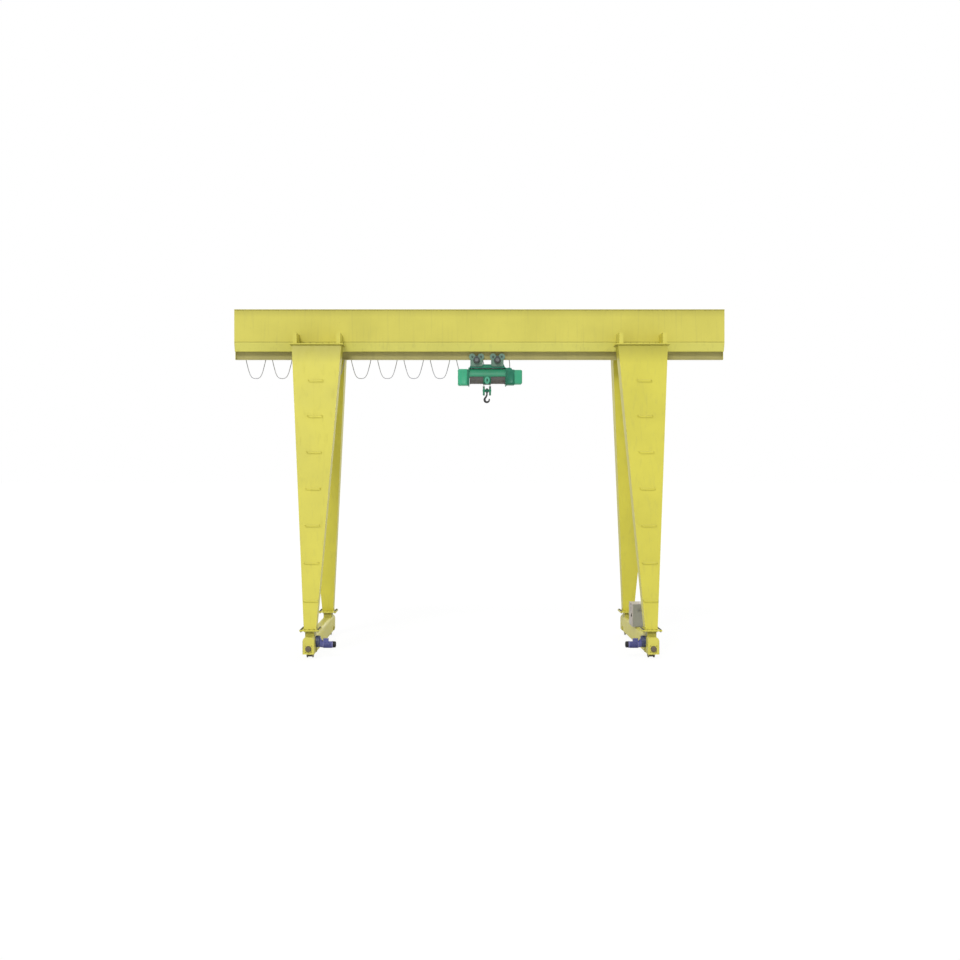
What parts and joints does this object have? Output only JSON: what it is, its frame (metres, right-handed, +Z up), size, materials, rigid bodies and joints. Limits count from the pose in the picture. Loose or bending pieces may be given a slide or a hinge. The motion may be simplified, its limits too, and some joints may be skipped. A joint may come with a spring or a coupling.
{
  "type": "single-girder gantry crane",
  "caption": "Gantry crane with a box girder on four tapered legs, wheeled end carriages and an underhung wire rope hoist with a hook block.",
  "frame": {"origin": "on the rails under the middle of the girder, at the centre of the box in plan", "axes": "+X along the girder to the side with the control cabinet, -Y the face with the rungs and travel drives, +Z up"},
  "size_m": [15.3, 6.68, 10.52],
  "materials": {
    "yellow_paint": "satin",
    "bright_green_paint": "satin",
    "green_paint": "satin",
    "dark_green_paint": "satin",
    "grey_green_paint": "satin",
    "gear_grey_paint": "satin",
    "motor_blue_paint": "satin",
    "black_plastic": "matt",
    "cabinet_grey_paint": "satin",
    "buffer_rubber": "matt",
    "cable_sheath": "matt",
    "zinc": "satin",
    "wire_rope": "satin",
    "drum_steel": "satin",
    "dark_grey_paint": "satin",
    "forged_steel": "satin",
    "wheel_steel": "satin"
  },
  "bodies": {
    "crane": {"bearing_caps": "dark_grey_paint", "bracket_front_left": "yellow_paint", "bracket_front_right": "yellow_paint", "bracket_rear_left": "yellow_paint", "bracket_rear_right": "yellow_paint", "buffers": "buffer_rubber", "control_cabinet": "cabinet_grey_paint", "end_carriage_left": "yellow_paint", "end_carriage_right": "yellow_paint", "fan_covers": "black_plastic", "festoon_arms": "zinc", "festoon_cable": "cable_sheath", "festoon_carriers": "zinc", "festoon_rail": "zinc", "gear_case_left": "gear_grey_paint", "gear_case_right": "gear_grey_paint", "girder_end_plates": "yellow_paint", "girder_top_plate": "yellow_paint", "girder_trough": "yellow_paint", "girder_web_front": "yellow_paint", "girder_web_rear": "yellow_paint", "ladder_rungs_left": "yellow_paint", "ladder_rungs_right": "yellow_paint", "leg_front_left": "yellow_paint", "leg_front_right": "yellow_paint", "leg_rear_left": "yellow_paint", "leg_rear_right": "yellow_paint", "runway_beam": "yellow_paint", "travel_motor_left": "motor_blue_paint", "travel_motor_right": "motor_blue_paint"},
    "trolley": {"bogie_left": "grey_green_paint", "bogie_right": "grey_green_paint", "trolley_drives": "dark_grey_paint", "suspension_frame": "dark_green_paint", "suspension_saddle": "green_paint", "hoist_shell": "green_paint", "hoist_end_frames": "dark_green_paint", "electric_box": "bright_green_paint", "hoist_gearbox": "dark_green_paint", "hoist_motor_cover": "bright_green_paint", "cable_gland": "black_plastic", "rope_guide": "green_paint", "rope_nozzle": "green_paint", "hoist_ropes": "wire_rope"},
    "hook_block": {"sheave_guards": "green_paint", "hook_crosshead": "dark_green_paint", "rope_wraps": "wire_rope"},
    "drum": {"rope_drum": "drum_steel"},
    "hook_body": {"hook": "forged_steel"},
    "hook_sheave_left_body": {"hook_sheave_left": "wheel_steel"},
    "hook_sheave_right_body": {"hook_sheave_right": "wheel_steel"},
    "trolley_wheels_1_body": {"trolley_wheels_1": "wheel_steel"},
    "trolley_wheels_2_body": {"trolley_wheels_2": "wheel_steel"},
    "trolley_wheels_3_body": {"trolley_wheels_3": "wheel_steel"},
    "trolley_wheels_4_body": {"trolley_wheels_4": "wheel_steel"},
    "travel_wheel_front_left_body": {"travel_wheel_front_left": "wheel_steel"},
    "travel_wheel_front_right_body": {"travel_wheel_front_right": "wheel_steel"},
    "travel_wheel_rear_left_body": {"travel_wheel_rear_left": "wheel_steel"},
    "travel_wheel_rear_right_body": {"travel_wheel_rear_right": "wheel_steel"}
  },
  "joints": [
    {"name": "trolley_travel", "type": "slide", "parent": "crane", "child": "trolley", "axis": [1, 0, 0], "range_m": [-6.4, 5.8]},
    {"name": "hook_lift", "type": "slide", "parent": "trolley", "child": "hook_block", "axis": [0, 0, 1], "range_m": [-7.4, 0], "deforming": ["hoist_ropes"]},
    {"name": "drum_turn", "type": "hinge", "parent": "trolley", "child": "drum", "pos_m": [0.253, 0, 8.435], "axis": [1, 0, 0], "continuous": true},
    {"name": "hook_swivel", "type": "hinge", "parent": "hook_block", "child": "hook_body", "pos_m": [0.242, 0, 7.9], "axis": [0, 0, 1], "continuous": true},
    {"name": "hook_sheave_left_turn", "type": "hinge", "parent": "hook_block", "child": "hook_sheave_left_body", "pos_m": [0.145, 0, 8], "axis": [1, 0, 0], "continuous": true},
    {"name": "hook_sheave_right_turn", "type": "hinge", "parent": "hook_block", "child": "hook_sheave_right_body", "pos_m": [0.339, 0, 8], "axis": [1, 0, 0], "continuous": true},
    {"name": "trolley_wheels_1_turn", "type": "hinge", "parent": "trolley", "child": "trolley_wheels_1_body", "pos_m": [-0.223, 0, 9.0603], "axis": [0, 1, 0], "continuous": true},
    {"name": "trolley_wheels_2_turn", "type": "hinge", "parent": "trolley", "child": "trolley_wheels_2_body", "pos_m": [0.053, 0, 9.0603], "axis": [0, 1, 0], "continuous": true},
    {"name": "trolley_wheels_3_turn", "type": "hinge", "parent": "trolley", "child": "trolley_wheels_3_body", "pos_m": [0.429, 0, 9.0603], "axis": [0, 1, 0], "continuous": true},
    {"name": "trolley_wheels_4_turn", "type": "hinge", "parent": "trolley", "child": "trolley_wheels_4_body", "pos_m": [0.705, 0, 9.0603], "axis": [0, 1, 0], "continuous": true},
    {"name": "travel_wheel_front_left_turn", "type": "hinge", "parent": "crane", "child": "travel_wheel_front_left_body", "pos_m": [-5, -2.745, 0.225], "axis": [1, 0, 0], "continuous": true},
    {"name": "travel_wheel_front_right_turn", "type": "hinge", "parent": "crane", "child": "travel_wheel_front_right_body", "pos_m": [5, -2.745, 0.225], "axis": [1, 0, 0], "continuous": true},
    {"name": "travel_wheel_rear_left_turn", "type": "hinge", "parent": "crane", "child": "travel_wheel_rear_left_body", "pos_m": [-5, 2.745, 0.225], "axis": [1, 0, 0], "continuous": true},
    {"name": "travel_wheel_rear_right_turn", "type": "hinge", "parent": "crane", "child": "travel_wheel_rear_right_body", "pos_m": [5, 2.745, 0.225], "axis": [1, 0, 0], "continuous": true}
  ],
  "couplings": [
    {"joint": "drum_turn", "follows": "hook_lift", "rad_per_m": -9.2379},
    {"joint": "hook_sheave_left_turn", "follows": "hook_lift", "rad_per_m": -8},
    {"joint": "hook_sheave_right_turn", "follows": "hook_lift", "rad_per_m": -8},
    {"joint": "trolley_wheels_1_turn", "follows": "trolley_travel", "rad_per_m": 13.333},
    {"joint": "trolley_wheels_2_turn", "follows": "trolley_travel", "rad_per_m": 13.333},
    {"joint": "trolley_wheels_3_turn", "follows": "trolley_travel", "rad_per_m": 13.333},
    {"joint": "trolley_wheels_4_turn", "follows": "trolley_travel", "rad_per_m": 13.333}
  ]
}
